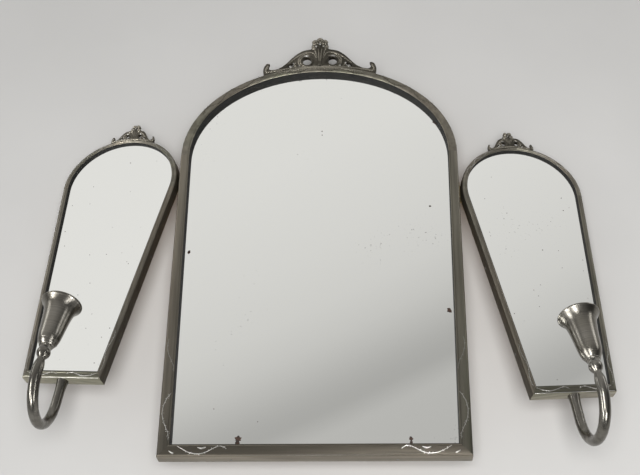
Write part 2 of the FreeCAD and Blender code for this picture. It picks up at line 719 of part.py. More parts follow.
def build_wing(name, side):
    """side is -1 for the left wing and +1 for the right one; the seam is on the wing's other side."""
    place = wing_placement(side)
    centre_leaf, centre_screws, wing_leaf, wing_screws, pin = hinge_shapes(side)
    nails = wing_nail_shapes()
    at_foot = Vector(0, -size("arm_setback"), 0)
    stud = Part.makeCylinder(size("screw_radius"), size("wing_wall"), at_foot)
    node(cut(name + "_foot_rail", wing_rail(name + "_foot", "bottom"), [stud]), place)
    node(cut(name + "_outer_rail", wing_rail(name + "_outer", "side", side), nails), place)
    node(cut(name + "_inner_rail", wing_rail(name + "_inner", "side", -side), nails + wing_screws), place)
    node(cut(name + "_arch_rail", wing_rail(name + "_arch", "arch"), nails + wing_screws), place)
    seat = (size("wing_arch_half"), size("wing_arch_rise"), size("wing_spring_height"))
    node(crest(name + "_crest", "wing_crest_", seat, 4, "wing_depth", "wing_crest_setback"), place)
    node(panel(name + "_glass", wing_sheet_curves(), "glass_thick",
               "wing_depth - wing_lip - glass_thick"), place)
    blank = panel(name + "_board_blank", wing_sheet_curves(), "wing_board",
                  "wing_depth - wing_lip - glass_thick - wing_board")
    node(cut(name + "_backboard", blank, nails + wing_screws), place)
    node(solids(name + "_nails", nails), place)
    node(solids(name + "_leaf_screws", wing_screws), place)
    node(solids(name + "_hinge_leaf", [wing_leaf]), place)
    node(solids(name + "_hinge_pin", [pin]), place)
    node(solids(name + "_center_leaf", [centre_leaf]), place)
    node(candle_arm(name + "_candle_arm"), arm_placement(side))
    node(solids(name + "_arm_nut", [foot_nut_shape()]), place)
    on_arm = arm_placement(side) * raised_end()
    node(solids(name + "_cup_screw", [cup_screw_shape()]), on_arm)
    cup_place = on_arm * Placement(Vector(0, 0, size("cup_seat_height")), Rotation())
    node(candle_cup(name + "_candle_cup"), cup_place)
    placed = []
    for shape in centre_screws:
        moved = shape.copy()
        moved.Placement = place * moved.Placement
        placed.append(moved)
    return placed


leaf_screws = {}
for wing_name, wing_hand in (("left_wing", -1), ("right_wing", 1)):
    leaf_screws[wing_hand] = build_wing(wing_name, wing_hand)

# the screws that hold both fixed leaves to the stiles, and the stiles that they bite into
for stile_name, hand in (("center_left_stile", -1), ("center_right_stile", 1)):
    local = []
    for shape in leaf_screws[hand]:
        moved = shape.copy()
        moved.Placement = centre_place.inverse() * moved.Placement
        local.append(moved)
    node(cut(stile_name, centre_rail(stile_name, "stile", hand), centre_nails + local), centre_place)
node(solids("stile_leaf_screws", leaf_screws[-1] + leaf_screws[1]))


# ---- check and write -------------------------------------------------------------------------------------

doc.recompute()
for item in doc.Objects:
    if "Invalid" in item.State or "Error" in item.State:
        raise RuntimeError("%s failed: %s" % (item.Label, item.State))
for item in NODES:
    if item.Shape.isNull() or not item.Shape.isValid() or not item.Shape.Solids:
        raise RuntimeError("bad shape: " + item.Label)
os.makedirs("parts", exist_ok=True)
for item in NODES:
    item.Shape.exportStep(os.path.join("parts", item.Label + ".step"))
print(len(NODES), "nodes written")
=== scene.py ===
import math
import random

import bpy
from mathutils import Matrix, Vector


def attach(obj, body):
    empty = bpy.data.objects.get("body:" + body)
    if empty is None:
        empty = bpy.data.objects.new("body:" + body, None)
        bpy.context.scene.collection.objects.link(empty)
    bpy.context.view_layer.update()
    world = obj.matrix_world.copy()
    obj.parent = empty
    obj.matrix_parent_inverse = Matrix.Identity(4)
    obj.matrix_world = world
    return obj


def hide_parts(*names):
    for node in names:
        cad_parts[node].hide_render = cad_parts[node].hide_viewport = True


# The look of the girandole mirror. Lengths of its pieces are written in millimetres and scaled once, in
# place(); the backdrop and the lamps are in metres. Y runs from the front of a piece to its back.

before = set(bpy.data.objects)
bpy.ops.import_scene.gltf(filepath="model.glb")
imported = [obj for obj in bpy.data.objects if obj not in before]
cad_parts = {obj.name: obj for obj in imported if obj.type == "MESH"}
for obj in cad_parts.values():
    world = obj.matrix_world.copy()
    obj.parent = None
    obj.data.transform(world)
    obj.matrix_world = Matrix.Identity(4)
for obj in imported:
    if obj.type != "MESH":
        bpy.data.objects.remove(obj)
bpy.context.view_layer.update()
MM = 0.001
CENTRE = "centre"
SIDES = {"left": -1, "right": 1}

# ---- where the pieces stand -----------------------------------------------------------------------

# The centre's frame, with its face's width at the foot, at the spring line and at the top of the arch.
HALF_WIDTH, STILE_HEIGHT, ARCH_RISE = 180.0, 408.0, 140.0
FACE_WIDTH, SPRING_FACE, TOP_FACE = 14.5, 11.2, 9.0
CENTRE_DROP, CENTRE_FRONT = -2.25, -20.0
CENTRE_ROUND, CENTRE_WALL = 3.0, 4.5

# A wing's frame, the same way, and how it is turned about Z, X and Y.
WING_ARCH_HALF, WING_ARCH_RISE, WING_SPRING = 79.0, 74.5, 288.5
WING_FOOT_HALF, WING_FRONT = 50.5, -15.0
WING_FACE, WING_TOP_FACE, WING_FOOT_FACE = 6.6, 5.8, 10.0
WING_ROUND, WING_WALL = 2.2, 3.0
GLASS_FRONT = -11.0
FOLD, TIP, LEAN = (math.radians(a) for a in (10.4, 6.8, 6.2))
WING_FOOT = {"left": (-296.025, -15.597, 88.369), "right": (296.025, -15.597, 66.369)}
ARM_SETBACK, ARM_BEND, ARM_DROP, ARM_LEG, CUP_SEAT = 7.5, 42.0, 30.0, 18.0, 7.4
ARM_LEAN = math.radians(7.0)
ARM_TURN = {"left": math.radians(9.7), "right": math.radians(2.2)}

centre_place = Matrix.Translation((0, 0, CENTRE_DROP))


def wing_place(side):
    hand = SIDES[side]
    turn = Matrix.Rotation(hand * FOLD, 4, "Z") @ Matrix.Rotation(-TIP, 4, "X")
    return Matrix.Translation(WING_FOOT[side]) @ turn @ Matrix.Rotation(-hand * LEAN, 4, "Y")


def arm_place(side):
    """The arm's own frame, with its stud on the foot rail."""
    stud = Matrix.Translation((0, -ARM_SETBACK, 0))
    return wing_place(side) @ stud @ Matrix.Rotation(-SIDES[side] * ARM_TURN[side], 4, "Z")


def raised_end():
    """The middle of the knop in the arm's frame, with Z along the leg that leans back."""
    foot = (0, -ARM_BEND * (1 + math.cos(ARM_LEAN)), ARM_BEND * math.sin(ARM_LEAN) - ARM_DROP)
    lean = Matrix.Rotation(-ARM_LEAN, 4, "X")
    return Matrix.Translation(foot) @ lean @ Matrix.Translation((0, 0, ARM_LEG))


def cup_place(side):
    return arm_place(side) @ raised_end() @ Matrix.Translation((0, 0, CUP_SEAT))


# ---- materials ------------------------------------------------------------------------------------

METAL_RELIEF = 0.0003


def new_material(name):
    material = bpy.data.materials.new(name)
    material.use_nodes = True
    nodes = material.node_tree.nodes
    return material, nodes, material.node_tree.links, nodes["Principled BSDF"]


def noise(nodes, links, scale, detail=4.0, stretch=(1, 1, 1)):
    where = nodes.new("ShaderNodeTexCoord")
    mapping = nodes.new("ShaderNodeMapping")
    mapping.inputs["Scale"].default_value = stretch
    texture = nodes.new("ShaderNodeTexNoise")
    texture.inputs["Scale"].default_value = scale
    texture.inputs["Detail"].default_value = detail
    links.new(where.outputs["Object"], mapping.inputs["Vector"])
    links.new(mapping.outputs["Vector"], texture.inputs["Vector"])
    return texture.outputs["Fac"]


def rings(nodes, links, axis, scale, detail=6.0):
    """Noise that changes only along an axis, like the marks of a lathe tool."""
    where = nodes.new("ShaderNodeTexCoord")
    along = nodes.new("ShaderNodeVectorMath")
    along.operation = "DOT_PRODUCT"
    along.inputs[1].default_value = axis
    texture = nodes.new("ShaderNodeTexNoise")
    texture.noise_dimensions = "1D"
    texture.inputs["Scale"].default_value = scale
    texture.inputs["Detail"].default_value = detail
    links.new(where.outputs["Object"], along.inputs[0])
    links.new(along.outputs["Value"], texture.inputs["W"])
    return texture.outputs["Fac"]


def ramp(nodes, links, source, stops):
    node = nodes.new("ShaderNodeValToRGB")
    while len(node.color_ramp.elements) < len(stops):
        node.color_ramp.elements.new(0.5)
    for element, (at, colour) in zip(node.color_ramp.elements, stops):
        element.position = at
        element.color = (*colour, 1)
    links.new(source, node.inputs["Fac"])
    return node.outputs["Color"]


def grey(value, warm=0.0):
    return value * (1 + warm), value * (1 + 0.35 * warm), value * (1 - warm)


def greys(*pairs):
    """Colours from pairs of a value and its warmth."""
    return [grey(*pair) for pair in pairs]


def multiply(nodes, links, one, other):
    mix = nodes.new("ShaderNodeMix")
    mix.data_type = "RGBA"
    mix.blend_type = "MULTIPLY"
    mix.inputs["Factor"].default_value = 1.0
    links.new(one, mix.inputs["A"])
    links.new(other, mix.inputs["B"])
    return mix.outputs["Result"]


def maths(nodes, links, operation, one, other):
    """A maths node; one and other are each a socket or a float."""
    node = nodes.new("ShaderNodeMath")
    node.operation = operation
    for socket, value in zip(node.inputs, (one, other)):
        if isinstance(value, float):
            socket.default_value = value
        else:
            links.new(value, socket)
    return node.outputs["Value"]


def bumped(nodes, links, shader, source, strength, distance):
    bump = nodes.new("ShaderNodeBump")
    bump.inputs["Strength"].default_value = strength
    bump.inputs["Distance"].default_value = distance
    links.new(source, bump.inputs["Height"])
    links.new(bump.outputs["Normal"], shader.inputs["Normal"])


def height_tone_and_underside_light(nodes, links):
    """Tone by height and by side: darker towards the foot, and painted light on the faces that look down."""
    where = nodes.new("ShaderNodeTexCoord")
    height = nodes.new("ShaderNodeSeparateXYZ")
    links.new(where.outputs["Object"], height.inputs["Vector"])
    by_height = ((0.02, 0.52), (0.05, 0.72), (0.28, 0.98), (0.45, 1.25), (0.56, 0.95))
    height_tone = ramp(nodes, links, height.outputs["Z"], [(metres, grey(tone)) for metres, tone in by_height])
    facing = nodes.new("ShaderNodeSeparateXYZ")
    links.new(nodes.new("ShaderNodeNewGeometry").outputs["Normal"], facing.inputs["Vector"])
    down = nodes.new("ShaderNodeMapRange")
    down.inputs["From Min"].default_value = -0.95
    down.inputs["From Max"].default_value = -0.5
    links.new(facing.outputs["Z"], down.inputs["Value"])
    # Painted light: faces that look down are made up to 2.6 times lighter, standing for light from below.
    painted_underside_light = ramp(nodes, links, down.outputs["Result"], [(0.0, grey(2.6)), (1.0, grey(1.0))])
    return multiply(nodes, links, height_tone, painted_underside_light)


def patina(name, tones, rough, fine=170.0, stretch=(1, 1, 1), bump=0.2, aged=False):
    """Old plated metal: three tones in broad clouds under fine streaks that run along the bar."""
    material, nodes, links, shader = new_material(name)
    shader.inputs["Metallic"].default_value = 0.92
    broad = noise(nodes, links, scale=13, detail=2, stretch=stretch)
    clouds = ramp(nodes, links, broad, list(zip((0.36, 0.5, 0.64), tones)))
    # With the flag, the base colour also grows darker towards the foot and takes painted light on faces that
    # look down.
    if aged:
        clouds = multiply(nodes, links, clouds, height_tone_and_underside_light(nodes, links))
    streaks = noise(nodes, links, scale=fine, detail=6, stretch=stretch)
    shade = ramp(nodes, links, streaks, [(0.25, grey(0.66)), (0.5, grey(0.92)), (0.75, grey(1.2))])
    links.new(multiply(nodes, links, clouds, shade), shader.inputs["Base Color"])
    low, high = rough
    gloss = ramp(nodes, links, streaks, [(0.3, grey(high)), (0.7, grey(low))])
    links.new(gloss, shader.inputs["Roughness"])
    pits = noise(nodes, links, scale=fine * 4, stretch=stretch)
    bumped(nodes, links, shader, pits, strength=bump, distance=METAL_RELIEF)
    return material


def turned(name, axis, dark, light, rough):
    """Pewter brushed round its own axis."""
    material, nodes, links, shader = new_material(name)
    shader.inputs["Metallic"].default_value = 1.0
    broad = ramp(nodes, links, noise(nodes, links, scale=30, detail=3),
                 [(0.35, grey(dark, 0.12)), (0.65, grey(light, 0.09))])
    lines = rings(nodes, links, axis, scale=900)
    shade = ramp(nodes, links, lines, [(0.3, grey(0.78)), (0.5, grey(0.96)), (0.7, grey(1.12))])
    links.new(multiply(nodes, links, broad, shade), shader.inputs["Base Color"])
    shader.inputs["Roughness"].default_value = rough
    bumped(nodes, links, shader, lines, strength=0.12, distance=METAL_RELIEF)
    return material


def mirror(name, tint):
    """Silvered glass with faint specks where the silver has gone."""
    material, nodes, links, shader = new_material(name)
    shader.inputs["Metallic"].default_value = 1.0
    patches = noise(nodes, links, scale=9, detail=3)
    specks = multiply(nodes, links, noise(nodes, links, scale=260, detail=2), patches)
    clear = [tint * 0.995, tint, tint * 0.97]
    tone = ramp(nodes, links, specks,
                [(0.41, clear), (0.47, [c * 0.85 for c in clear]), (0.52, grey(0.22, 0.1))])
    links.new(tone, shader.inputs["Base Color"])
    shader.inputs["Roughness"].default_value = 0.03
    return material


def wood(name):
    material, nodes, links, shader = new_material(name)
    grain = noise(nodes, links, scale=14, detail=8, stretch=(1, 1, 0.08))
    tone = ramp(nodes, links, grain,
                [(0.35, (0.13, 0.075, 0.04)), (0.6, (0.24, 0.15, 0.085)), (0.8, (0.31, 0.2, 0.12))])
    links.new(tone, shader.inputs["Base Color"])
    shader.inputs["Roughness"].default_value = 0.72
    bumped(nodes, links, shader, grain, strength=0.35, distance=0.0006)
    return material


def matt(name, dark, light, scale, rough):
    material, nodes, links, shader = new_material(name)
    tone = ramp(nodes, links, noise(nodes, links, scale), [(0.35, dark), (0.7, light)])
    links.new(tone, shader.inputs["Base Color"])
    shader.inputs["Roughness"].default_value = rough
    return material


PEWTER = ((0.160, 0.154, 0.118), (0.182, 0.168, 0.138), (0.190, 0.168, 0.134))
ALONG_Z, ALONG_X = (1, 1, 0.06), (0.06, 1, 1)
STILE_METAL = patina("pewter_upright_painted_underside_light", PEWTER, (0.34, 0.5), stretch=ALONG_Z, aged=True)
RAIL_METAL = patina("pewter_level_painted_underside_light", PEWTER, (0.36, 0.5), stretch=ALONG_X, aged=True)
ARCH_METAL = patina("pewter_arch_painted_underside_light", PEWTER, (0.36, 0.52), 120, aged=True)
CREST_METAL = patina("cast_pewter", greys((0.05, 0.16), (0.09, 0.16), (0.13, 0.14)), (0.3, 0.45), 260)
RELIEF_METAL = patina("cast_relief", greys((0.21, 0.14), (0.31, 0.14), (0.44, 0.12)), (0.2, 0.32), 260)
# Pale worn metal for the garlands and edges, and for the crests' painted highlights.
WORN_AND_HIGHLIGHT_METAL = patina("worn_pewter_and_painted_highlights", greys((0.5, 0.04), (0.66, 0.04), (0.8, 0.03)), (0.28, 0.4), 300)
RUBBED_METAL = patina("rubbed_pewter", greys((0.24, 0.05), (0.32, 0.05), (0.42, 0.04)), (0.3, 0.42), 300)
ARM_METAL = patina("arm_pewter", greys((0.09, 0.1), (0.14, 0.1), (0.19, 0.08)), (0.2, 0.3), 200,
                   stretch=ALONG_Z, bump=0.1)
BRASS = patina("aged_brass", greys((0.16, 0.35), (0.24, 0.35), (0.32, 0.35)), (0.32, 0.5), 200)
STEEL = patina("dull_steel", greys((0.14, 0.03), (0.2, 0.03), (0.28, 0.03)), (0.35, 0.5), 300)
GLASS = {side: mirror("mirror_" + side, tint)
         for side, tint in (("centre", 0.93), ("left", 0.95), ("right", 0.93))}
BOARD = wood("stained_board")
STAIN = matt("foxed_silver", (0.012, 0.008, 0.006), (0.06, 0.025, 0.012), 420, 0.65)
# Near-black sheet that paints the shade inside the rebates.
SHADOW = matt("painted_rebate_shade", (0.002, 0.002, 0.0015), (0.008, 0.007, 0.005), 90, 0.85)


def paint(obj, material, slot=None):
    obj.data.materials.clear()
    obj.data.materials.append(material)


# ---- geometry helpers -----------------------------------------------------------------------------

def place(name, shape, matrix, body, material, slot, smooth=True):
    """Adds one mesh written in millimetres in a local frame, and hangs it on a CAD body."""
    verts, faces = shape
    mesh = bpy.data.meshes.new(name)
    mesh.from_pydata([(matrix @ Vector(v)) * MM for v in verts], [], faces)
    mesh.validate()
    for polygon in mesh.polygons:
        polygon.use_smooth = smooth
    obj = bpy.data.objects.new(name, mesh)
    bpy.context.scene.collection.objects.link(obj)
    paint(obj, material, slot)
    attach(obj, body)
    return obj


def smooth_line(points, steps=6):
    """A Catmull-Rom curve through the points."""
    points = [Vector(p) for p in points]
    ends = [2 * points[0] - points[1]] + points + [2 * points[-1] - points[-2]]
    line = []
    for a, b, c, d in zip(ends, ends[1:], ends[2:], ends[3:]):
        for k in range(steps):
            t = k / steps
            line.append(0.5 * (2 * b + (c - a) * t + (2 * a - 5 * b + 4 * c - d) * t * t
                               + (3 * b - a - 3 * c + d) * t ** 3))
    line.append(points[-1])
    return line


def tube_faces(rows, sides):
    faces = []
    for k in range(rows - 1):
        for n in range(sides):
            m = (n + 1) % sides
            faces.append((k * sides + n, k * sides + m, (k + 1) * sides + m, (k + 1) * sides + n))
    return faces


def sweep(points, radii, across, sides=10, flatten=1.0):
    """A tube along points that lie in the plane square to across; flatten squeezes it along across."""
    across = Vector(across)
    verts = []
    for k, point in enumerate(points):
        ahead = points[min(k + 1, len(points) - 1)] - points[max(k - 1, 0)]
        out = across.cross(ahead).normalized()
        for n in range(sides):
            turn = 2 * math.pi * n / sides
            verts.append(point + (out * math.cos(turn) + across * (math.sin(turn) * flatten)) * radii[k])
    last = (len(points) - 1) * sides
    caps = [tuple(range(sides))[::-1], tuple(last + n for n in range(sides))]
    return verts, tube_faces(len(points), sides) + caps


def lathe(profile, sides=72):
    """Turns (radius, height) points about the local Z axis."""
    verts = []
    for radius, height in profile:
        for n in range(sides):
            turn = 2 * math.pi * n / sides
            verts.append((radius * math.cos(turn), radius * math.sin(turn), height))
    return verts, tube_faces(len(profile), sides)


def join(parts):
    verts, faces = [], []
    for some_verts, some_faces in parts:
        start = len(verts)
        verts += [tuple(v) for v in some_verts]
        faces += [tuple(start + i for i in face) for face in some_faces]
    return verts, faces


def stroke(points, widest, y, rise=0.5, ends=0.25, steps=5):
    """A raised line on a face at depth y, through (x, z) points, that swells to widest in its middle."""
    line = smooth_line([(x, y, z) for x, z in points], steps)
    last = len(line) - 1
    radii = [widest * (ends + (1 - ends) * math.sin(math.pi * k / last) ** 0.8) for k in range(last + 1)]
    return sweep(line, radii, (0, 1, 0), 8, rise)


def bead(x, z, radius, y, rise=0.7):
    """A half ball on a face at depth y."""
    rows, sides = 5, 10
    verts = []
    for k in range(rows):
        lift = math.pi / 2 * k / (rows - 1)
        for n in range(sides):
            turn = 2 * math.pi * n / sides
            verts.append((x + radius * math.cos(lift) * math.cos(turn), y - radius * rise * math.sin(lift),
                          z + radius * math.cos(lift) * math.sin(turn)))
    return verts, tube_faces(rows, sides)


def arc(x, z, radius, start, finish, hand=1, squeeze=1.0, count=9):
    """Points round (x, z), from start to finish degrees, mirrored where hand is -1."""
    points = []
    for k in range(count):
        turn = math.radians(start + (finish - start) * k / (count - 1))
        points.append((x + hand * radius * math.cos(turn), z + radius * squeeze * math.sin(turn)))
    return points


def band(path, y_front, y_back, thick):
    """A closed thin strip that lines an opening, on the inside of a closed (x, z) path."""
    verts, faces = [], []
    count = len(path)
    for k, (x, z) in enumerate(path):
        ahead = Vector(path[(k + 1) % count]) - Vector(path[k - 1])
        inward = Vector((-ahead.y, ahead.x)).normalized() * thick
        for y, step in ((y_front, 0), (y_back, 0), (y_back, 1), (y_front, 1)):
            verts.append((x + inward.x * step, y, z + inward.y * step))
    for k in range(count):
        start, after = 4 * k, 4 * ((k + 1) % count)
        for n in range(4):
            m = (n + 1) % 4
            faces.append((start + n, start + m, after + m, after + n))
    return verts, faces


# ---- outlines -------------------------------------------------------------------------------------

def wing_slope():
    """Lean of the wing's straight side, which touches the arch."""
    turn, slope = 0.0, 0.0
    for _ in range(12):
        x = WING_ARCH_HALF * math.cos(turn)
        z = WING_SPRING + WING_ARCH_RISE * math.sin(turn)
        slope = (x - WING_FOOT_HALF) / z
        turn = -math.atan(slope * WING_ARCH_RISE / WING_ARCH_HALF)
    return slope


SLOPE = wing_slope()


def arch_points(half, rise, spring, start, count=48):
    """Points of an arch from start radians on the right, over the top, to the same on the left."""
    points = []
    for k in range(count + 1):
        turn = start + (math.pi - 2 * start) * k / count
        points.append((half * math.cos(turn), spring + rise * math.sin(turn)))
    return points


def centre_opening():
    """The sight edge, which comes nearer to the outer edge towards the top of the arch."""
    half, rise = HALF_WIDTH - SPRING_FACE, ARCH_RISE - TOP_FACE
    foot = HALF_WIDTH - FACE_WIDTH
    return arch_points(half, rise, STILE_HEIGHT, 0) + [(-foot, FACE_WIDTH), (foot, FACE_WIDTH)]


def centre_outline():
    return arch_points(HALF_WIDTH, ARCH_RISE, STILE_HEIGHT, 0) + [(-HALF_WIDTH, 0), (HALF_WIDTH, 0)]


def wing_path(half, rise, foot_level):
    start = -math.atan(SLOPE * rise / half)
    arch = arch_points(half, rise, WING_SPRING, start)
    foot = arch[0][0] - SLOPE * (arch[0][1] - foot_level)
    return arch + [(-foot, foot_level), (foot, foot_level)]


def wing_opening():
    return wing_path(WING_ARCH_HALF - WING_FACE, WING_ARCH_RISE - WING_TOP_FACE, WING_FOOT_FACE)


def wing_outline():
    return wing_path(WING_ARCH_HALF, WING_ARCH_RISE, 0)


# ---- moulded frame members ------------------------------------------------------------------------

SHARP_ANGLE = math.radians(34)


def profile(front, outer_round, wall, face):
    """A member's cross-section, as shares of the face from its outer edge and depths.

    groove is the moulding along the sight edge: the inset from that edge and the drop below the face.
    """
    corner = [math.radians(90 * k / 5) for k in range(6)]
    rounded = [(outer_round * (1 - math.cos(a)), front + outer_round * (1 - math.sin(a))) for a in corner]
    groove = [(2.9, 0), (2.5, 0.45), (2.1, 0.45), (1.7, 0.05), (0.8, 0.12), (0.25, 0.5), (0, 1.1)]
    lip = [(face - inset, front + drop) for inset, drop in groove]
    seat = GLASS_FRONT - 0.02
    back = [(face, seat), (wall, seat), (wall, 0), (0, 0)]
    return [(u / face, y) for u, y in rounded + lip + back]


def member(name, outer, inner, section, matrix, body, material):
    """One rail, stile or arch of a frame between two rows of points, in place of its CAD node."""
    verts = []
    for (x0, z0), (x1, z1) in zip(outer, inner):
        verts += [(x0 + (x1 - x0) * share, y, z0 + (z1 - z0) * share) for share, y in section]
    count = len(section)
    last = (len(outer) - 1) * count
    caps = [tuple(range(count))[::-1], tuple(last + n for n in range(count))]
    shape = verts, tube_faces(len(outer), count) + caps
    piece = place(name + "_moulding", shape, matrix, body, material, "frame_metal")
    piece.data.set_sharp_from_angle(angle=SHARP_ANGLE)
    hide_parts(name)


def build_frame(names, outer, inner, section, matrix, body):
    """The four members of one frame: arch, the two uprights and the foot, mitred at the bottom corners."""
    arch, left, right, foot = names
    top = len(outer) - 2
    member(arch, outer[:top], inner[:top], section, matrix, body, ARCH_METAL)
    for name, ends in ((left, (top, top - 1)), (right, (top + 1, 0))):
        member(name, [outer[n] for n in ends], [inner[n] for n in ends], section, matrix, body, STILE_METAL)
    member(foot, outer[top:], inner[top:], section, matrix, body, RAIL_METAL)


def build_frames():
    names = ("center_arch_rail", "center_left_stile", "center_right_stile", "center_bottom_rail")
    section = profile(CENTRE_FRONT, CENTRE_ROUND, CENTRE_WALL, FACE_WIDTH)
    build_frame(names, centre_outline(), centre_opening(), section, centre_place, CENTRE)
    section = profile(WING_FRONT, WING_ROUND, WING_WALL, WING_FACE)
    for side, uprights in (("left", ("outer_rail", "inner_rail")), ("right", ("inner_rail", "outer_rail"))):
        names = [side + "_wing_" + part for part in ("arch_rail", *uprights, "foot_rail")]
        build_frame(names, wing_outline(), wing_opening(), section, wing_place(side), side + "_wing")


# ---- chased garlands ------------------------------------------------------------------------------

BERRY_SHARE = 0.3


def sprig(points, width, y, leaf, seed, every=2):
    """A thin stem with small leaves on alternate sides and a bead here and there."""
    rng = random.Random(seed)
    parts = [stroke(points, width, y, rise=0.5, ends=0.5, steps=4)]
    curve = smooth_line([(x, 0, z) for x, z in points], 4)
    for k in range(every, len(curve) - 1, every):
        ahead = (curve[k + 1] - curve[k - 1]).normalized()
        hand = 1 if (k // every) % 2 else -1
        reach = leaf * rng.uniform(0.7, 1.2)
        x, z = curve[k].x, curve[k].z
        tip = (x + (0.8 * ahead.x - hand * 0.7 * ahead.z) * reach,
               z + (0.8 * ahead.z + hand * 0.7 * ahead.x) * reach)
        middle = (0.6 * x + 0.4 * tip[0] + ahead.x * 0.2 * reach,
                  0.6 * z + 0.4 * tip[1] + ahead.z * 0.2 * reach)
        parts.append(stroke([(x, z), middle, tip], 0.8 * width, y, rise=0.5, ends=0.2, steps=3))
        if rng.random() < BERRY_SHARE:
            berry = (x + hand * 0.6 * leaf * ahead.z, z - hand * 0.6 * leaf * ahead.x)
            parts.append(bead(*berry, 1.1 * width, y))
    return parts


def wave(track, start, finish, swings, swing, steps=8):
    """Points that swing from side to side of a track, which gives a point and the way across."""
    points = []
    count = int(swings * steps)
    for k in range(count + 1):
        share = k / count
        (x, z), (ax, az) = track(start + (finish - start) * share)
        off = swing * math.sin(2 * math.pi * swings * share)
        points.append((x + ax * off, z + az * off))
    return points


def along_arch(half, rise, spring, inset):
    """s counts degrees from the top of the arch, positive to the right."""
    def track(s):
        turn = math.radians(90 - s)
        normal = Vector((math.cos(turn) / half, math.sin(turn) / rise)).normalized()
        x, z = (half - inset) * math.cos(turn), spring + (rise - inset) * math.sin(turn)
        return (x, z), (normal.x, normal.y)
    return track


def along_wing_side(hand):
    return lambda s: ((hand * (WING_FOOT_HALF + SLOPE * s - 3.8), s), (1, 0))


def mirrored(points):
    return [(-x, z) for x, z in points]


# Stems of the left half, as (x, z) points; WING_FESTOON is the right half of a wing's foot.
FESTOON = [(-156.5, 12.2), (-150, 8.4), (-143, 4.9), (-136, 3.2), (-129, 3.1), (-122, 5.4),
           (-116, 8.7), (-109, 12.0), (-104, 11.6), (-99.5, 8.6)]
STILE_SPRAY = [(-167.6, 77), (-172, 71), (-175.6, 62), (-176.6, 52), (-174.6, 42), (-171, 34),
               (-168, 27), (-167.4, 20)]
WING_FESTOON = [(45, 7.6), (37, 4.6), (28, 3.4), (20, 5.6), (12, 7.8), (6, 5.4)]
UPPER_SPRAY_LIFT = 84


def dress_centre():
    y = CENTRE_FRONT
    leaves = []
    for points, seed in ((FESTOON, 3), (mirrored(FESTOON), 4)):
        leaves += sprig(points, width=0.55, y=y, leaf=1.7, seed=seed, every=3)
        hand = 1 if points[0][0] > 0 else -1
        leaves.append(stroke([(hand * 123, 10.8), (hand * 128, 9.4), (hand * 133, 10.6)], 1.0, y))
        leaves.append(stroke([(hand * 166, 6.6), (hand * 162, 4.2), (hand * 160, 3.6)], 0.8, y))
    place("bottom_rail_festoons", join(leaves), centre_place, CENTRE, WORN_AND_HIGHLIGHT_METAL, "frame_metal")
    sprays = []
    for points, seed in ((STILE_SPRAY, 7), (mirrored(STILE_SPRAY), 9)):
        sprays += sprig(points, width=0.42, y=y, leaf=2.6, seed=seed)
        upper = [(x, z + UPPER_SPRAY_LIFT) for x, z in points[2:]]
        sprays += sprig(upper, width=0.3, y=y, leaf=2.0, seed=seed + 1, every=3)
    place("stile_sprays", join(sprays), centre_place, CENTRE, RUBBED_METAL, "frame_metal")
    track = along_arch(HALF_WIDTH, ARCH_RISE, STILE_HEIGHT, inset=5.2)
    scrolls = []
    for start, finish, swings, seed in ((24, 62, 2.5, 11), (-24, -62, 2.5, 12), (-20, 20, 3, 13)):
        line = wave(track, start, finish, swings, swing=3.0)
        scrolls += sprig(line, width=0.5, y=y, leaf=3.0, seed=seed, every=3)
    place("arch_sprays", join(scrolls), centre_place, CENTRE, CREST_METAL, "frame_metal")
    foot = [(-176, 1.5), (-60, 1.3), (60, 1.3), (176, 1.5)]
    edge = stroke(foot, 0.4, y + 1.0, rise=1.0, ends=0.9, steps=8)
    place("bottom_rail_rubbed_edge", edge, centre_place, CENTRE, RUBBED_METAL, "frame_metal")
    # Painted shade: a near-black strip on the rebate's inner wall along the sight edge.
    rebate_shade_strip = band(centre_opening(), y + 0.9, GLASS_FRONT - 0.05, thick=0.25)
    place("centre_rebate_shadow", rebate_shade_strip, centre_place, CENTRE, SHADOW, "frame_metal", smooth=False)


def dress_wing(side):
    y, matrix, body = WING_FRONT, wing_place(side), side + "_wing"
    foot = []
    for hand, seed in ((-1, 21), (1, 22)):
        points = [(hand * x, z) for x, z in WING_FESTOON]
        foot += sprig(points, width=0.4, y=y, leaf=1.5, seed=seed, every=3)
    place(side + "_foot_rail_sprays", join(foot), matrix, body, WORN_AND_HIGHLIGHT_METAL, "frame_metal")
    sprays = []
    for hand in (-1, 1):
        line = wave(along_wing_side(hand), start=9, finish=66, swings=1.5, swing=hand * 1.5)
        sprays += sprig(line, width=0.32, y=y, leaf=1.7, seed=23 + hand)
    track = along_arch(WING_ARCH_HALF, WING_ARCH_RISE, WING_SPRING, inset=3.6)
    for start, finish, seed in ((22, 64, 25), (-22, -64, 26)):
        line = wave(track, start, finish, swings=2.5, swing=1.5)
        sprays += sprig(line, width=0.35, y=y, leaf=1.6, seed=seed, every=3)
    place(side + "_wing_sprays", join(sprays), matrix, body, RUBBED_METAL, "frame_metal")
    edge = stroke([(-48, 1.1), (0, 1.0), (48, 1.1)], 0.35, y + 0.7, rise=1.0, ends=0.9, steps=8)
    place(side + "_foot_rail_rubbed_edge", edge, matrix, body, WORN_AND_HIGHLIGHT_METAL, "frame_metal")
    # Painted shade: a near-black strip on the rebate's inner wall along the sight edge.
    rebate_shade_strip = band(wing_opening(), y + 0.6, GLASS_FRONT - 0.05, thick=0.22)
    place(side + "_rebate_shadow", rebate_shade_strip, matrix, body, SHADOW, "frame_metal", smooth=False)


# ---- crests ---------------------------------------------------------------------------------------

BIG_CREST_HEIGHT = 50.0
SCROLL_WIDTH, SCROLL_SQUEEZE = 1.42, 0.95


